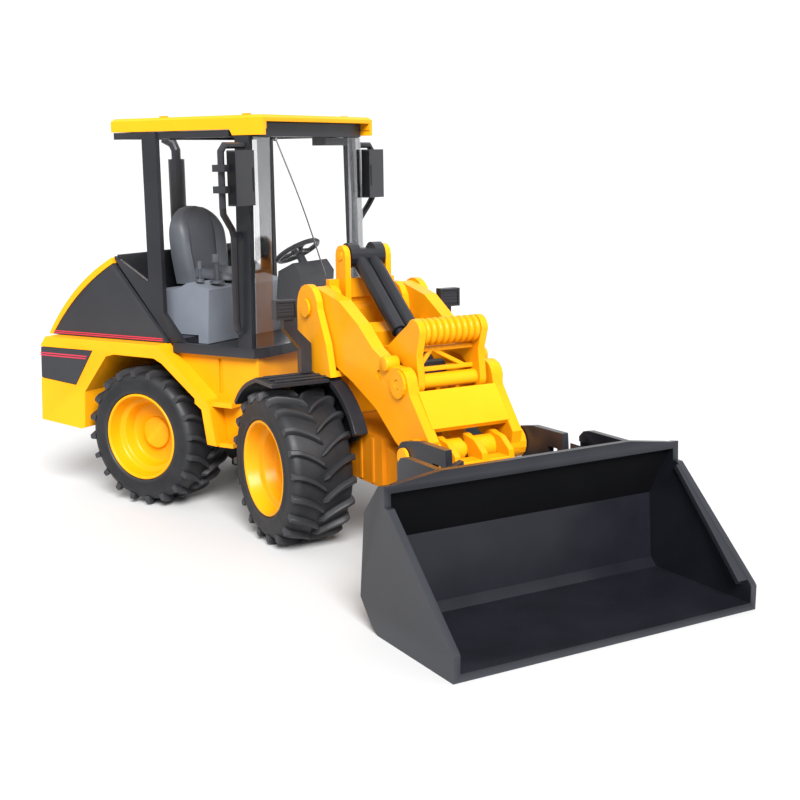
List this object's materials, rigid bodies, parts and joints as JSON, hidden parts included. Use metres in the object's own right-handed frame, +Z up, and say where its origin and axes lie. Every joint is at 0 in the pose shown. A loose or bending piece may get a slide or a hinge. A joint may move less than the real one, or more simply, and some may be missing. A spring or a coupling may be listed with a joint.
{
  "type": "toy front loader",
  "caption": "Articulated toy wheel loader with a glazed cab, lift arm, tilting bucket, folding mirrors and four lugged wheels.",
  "frame": {"origin": "on the ground, under the middle of the model's box", "axes": "+X forward along the rear half, towards the bucket; +Y to the driver's left; +Z up"},
  "size_m": [0.3554, 0.2308, 0.1803],
  "materials": {
    "yellow_plastic": "semi-gloss moulded plastic, warm yellow",
    "black_plastic": "satin black moulded plastic",
    "charcoal_plastic": "satin anthracite moulded plastic",
    "tyre_rubber": "matt dark grey soft plastic",
    "grey_plastic": "matt blue-grey moulded plastic",
    "pin_steel": "dark brushed steel",
    "clear_plastic": "clear polished plastic"
  },
  "bodies": {
    "rear_half": {"articulation_pin": "pin_steel", "cab_frame": "black_plastic", "dashboard": "black_plastic", "exhaust": "black_plastic", "hood_cover": "yellow_plastic", "hood_grille": "black_plastic", "hood_panel_left": "black_plastic", "hood_panel_right": "black_plastic", "lever_large": "grey_plastic", "lever_small": "grey_plastic", "mirror_bracket_left": "black_plastic", "mirror_bracket_right": "black_plastic", "rear_axle_shaft": "pin_steel", "rear_body": "yellow_plastic", "rear_chassis": "black_plastic", "rear_glazing": "clear_plastic", "roof": "yellow_plastic", "roof_console": "black_plastic", "seat": "grey_plastic", "seat_base": "grey_plastic", "side_panel_left": "black_plastic", "side_panel_right": "black_plastic", "windshield": "clear_plastic"},
    "front_half": {"barrel_pin": "pin_steel", "front_axle_housing": "black_plastic", "front_axle_shaft": "pin_steel", "front_chassis": "yellow_plastic", "lift_pin_left": "yellow_plastic", "lift_pin_right": "yellow_plastic", "mudguard_left": "black_plastic", "mudguard_right": "black_plastic", "tower": "yellow_plastic", "work_lamp_left": "black_plastic", "work_lamp_right": "black_plastic"},
    "coupler_joint": {"bucket": "charcoal_plastic", "coupler": "yellow_plastic", "coupler_pin_left": "yellow_plastic", "coupler_pin_right": "yellow_plastic"},
    "arm": {"crank_pin": "yellow_plastic", "lift_arm": "yellow_plastic", "rod_pin": "yellow_plastic"},
    "barrel": {"cylinder_barrel": "black_plastic"},
    "rods": {"cylinder_rods": "black_plastic"},
    "wheel_front_left": {"hub_cap_front_left": "yellow_plastic", "rim_front_left": "yellow_plastic", "tyre_front_left": "tyre_rubber"},
    "wheel_front_right": {"hub_cap_front_right": "yellow_plastic", "rim_front_right": "yellow_plastic", "tyre_front_right": "tyre_rubber"},
    "wheel_rear_left": {"hub_cap_rear_left": "yellow_plastic", "rim_rear_left": "yellow_plastic", "tyre_rear_left": "tyre_rubber"},
    "wheel_rear_right": {"hub_cap_rear_right": "yellow_plastic", "rim_rear_right": "yellow_plastic", "tyre_rear_right": "tyre_rubber"},
    "mirror_left": {"mirror_head_left": "black_plastic"},
    "mirror_right": {"mirror_head_right": "black_plastic"},
    "steering": {"steering_wheel": "black_plastic"},
    "crank": {"tilt_crank": "yellow_plastic"},
    "link": {"tilt_link": "yellow_plastic"}
  },
  "joints": [
    {"name": "articulation", "type": "hinge", "parent": "rear_half", "child": "front_half", "pos_m": [-0.05314, 0.05248, 0.0415], "axis": [0, 0, 1], "range_deg": [-5.65, 64.35]},
    {"name": "rear_wheel_left", "type": "hinge", "parent": "rear_half", "child": "wheel_rear_left", "pos_m": [-0.11434, 0.09148, 0.033], "axis": [0, 1, 0], "continuous": true},
    {"name": "rear_wheel_right", "type": "hinge", "parent": "rear_half", "child": "wheel_rear_right", "pos_m": [-0.11434, 0.01348, 0.033], "axis": [0, 1, 0], "continuous": true},
    {"name": "front_wheel_left", "type": "hinge", "parent": "front_half", "child": "wheel_front_left", "pos_m": [0.01993, 0.05613, 0.033], "axis": [0.4901, 0.8716, 0], "continuous": true},
    {"name": "front_wheel_right", "type": "hinge", "parent": "front_half", "child": "wheel_front_right", "pos_m": [-0.0183, -0.01186, 0.033], "axis": [0.4901, 0.8716, 0], "continuous": true},
    {"name": "mirror_fold_left", "type": "hinge", "parent": "rear_half", "child": "mirror_left", "pos_m": [-0.05414, 0.11248, 0.153], "axis": [0, 0, 1], "range_deg": [0, 60]},
    {"name": "mirror_fold_right", "type": "hinge", "parent": "rear_half", "child": "mirror_right", "pos_m": [-0.05414, -0.00752, 0.153], "axis": [0, 0, 1], "range_deg": [-60, 0]},
    {"name": "steering_wheel_turn", "type": "hinge", "parent": "rear_half", "child": "steering", "pos_m": [-0.06114, 0.05648, 0.1175], "axis": [-0.5, 0, 0.866], "continuous": true},
    {"name": "arm_lift", "type": "hinge", "parent": "front_half", "child": "arm", "pos_m": [-0.00433, 0.02503, 0.0985], "axis": [-0.4901, -0.8716, 0], "range_deg": [0, 50]},
    {"name": "bucket_tilt", "type": "hinge", "parent": "arm", "child": "crank", "pos_m": [0.05451, -0.00806, 0.0748], "axis": [-0.4901, -0.8716, 0], "range_deg": [-45, 15]},
    {"name": "tilt_link_turn", "type": "hinge", "parent": "crank", "child": "link", "pos_m": [0.05059, -0.00585, 0.0683], "axis": [-0.4901, -0.8716, 0], "range_deg": [-15.5, 45.5]},
    {"name": "coupler_turn", "type": "hinge", "parent": "arm", "child": "coupler_joint", "pos_m": [0.06671, -0.01492, 0.0496], "axis": [-0.4901, -0.8716, 0], "range_deg": [-45.5, 15.5]},
    {"name": "cylinder_swing", "type": "hinge", "parent": "front_half", "child": "barrel", "pos_m": [-0.00433, 0.02503, 0.1195], "axis": [-0.4901, -0.8716, 0], "range_deg": [-0.5, 44.5]},
    {"name": "cylinder_stroke", "type": "slide", "parent": "barrel", "child": "rods", "axis": [0.6769, -0.3806, -0.63], "range_m": [-0.0172, 0.0002]}
  ],
  "couplings": [
    {"joint": "tilt_link_turn", "follows": "bucket_tilt", "ratio": -1},
    {"joint": "coupler_turn", "follows": "bucket_tilt", "ratio": 1},
    {"joint": "cylinder_swing", "follows": "arm_lift", "ratio": 0.88},
    {"joint": "cylinder_stroke", "follows": "arm_lift", "m_per_rad": -0.0193}
  ]
}
